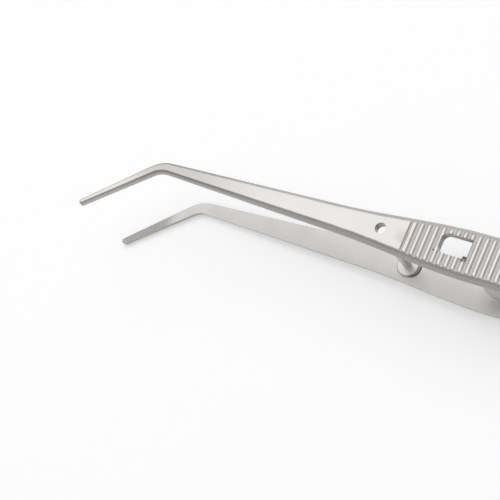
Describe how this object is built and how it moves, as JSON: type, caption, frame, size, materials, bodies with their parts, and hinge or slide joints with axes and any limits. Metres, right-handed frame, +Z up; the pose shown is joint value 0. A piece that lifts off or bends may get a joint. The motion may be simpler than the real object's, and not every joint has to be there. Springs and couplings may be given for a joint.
{
  "type": "dental college pliers",
  "caption": "Angled dental college pliers: sprung steel arms joined at the heel, ribbed grips, a guide pin and a hooked catch that latches through a window.",
  "frame": {"origin": "centre of the bounding box's base, on the table under the lower arm", "axes": "+X along the arms towards the heel, +Y away from the side that the tips bend to, +Z up from the lower arm to the upper arm"},
  "size_m": [0.1498, 0.016, 0.0206],
  "materials": {
    "arm_steel": "satin",
    "pin_steel": "turned",
    "catch_steel": "satin spring strip"
  },
  "bodies": {
    "lower": {"lower_arm": "arm_steel", "guide_pin": "pin_steel"},
    "upper": {"upper_arm": "arm_steel"},
    "catch": {"lock_catch": "catch_steel"}
  },
  "joints": [
    {"name": "arm_squeeze", "type": "hinge", "parent": "lower", "child": "upper", "pos_m": [0.06407, 0.00353, 0.00927], "axis": [0, -1, 0], "range_deg": [0, 7.53], "stiffness_Nm_per_rad": 2, "springref_deg": -0.57},
    {"name": "catch_press", "type": "hinge", "parent": "lower", "child": "catch", "pos_m": [0.01337, 0.00353, 0.00175], "axis": [0, -1, 0], "range_deg": [0, 4], "stiffness_Nm_per_rad": 0.5, "springref_deg": -0.29}
  ]
}
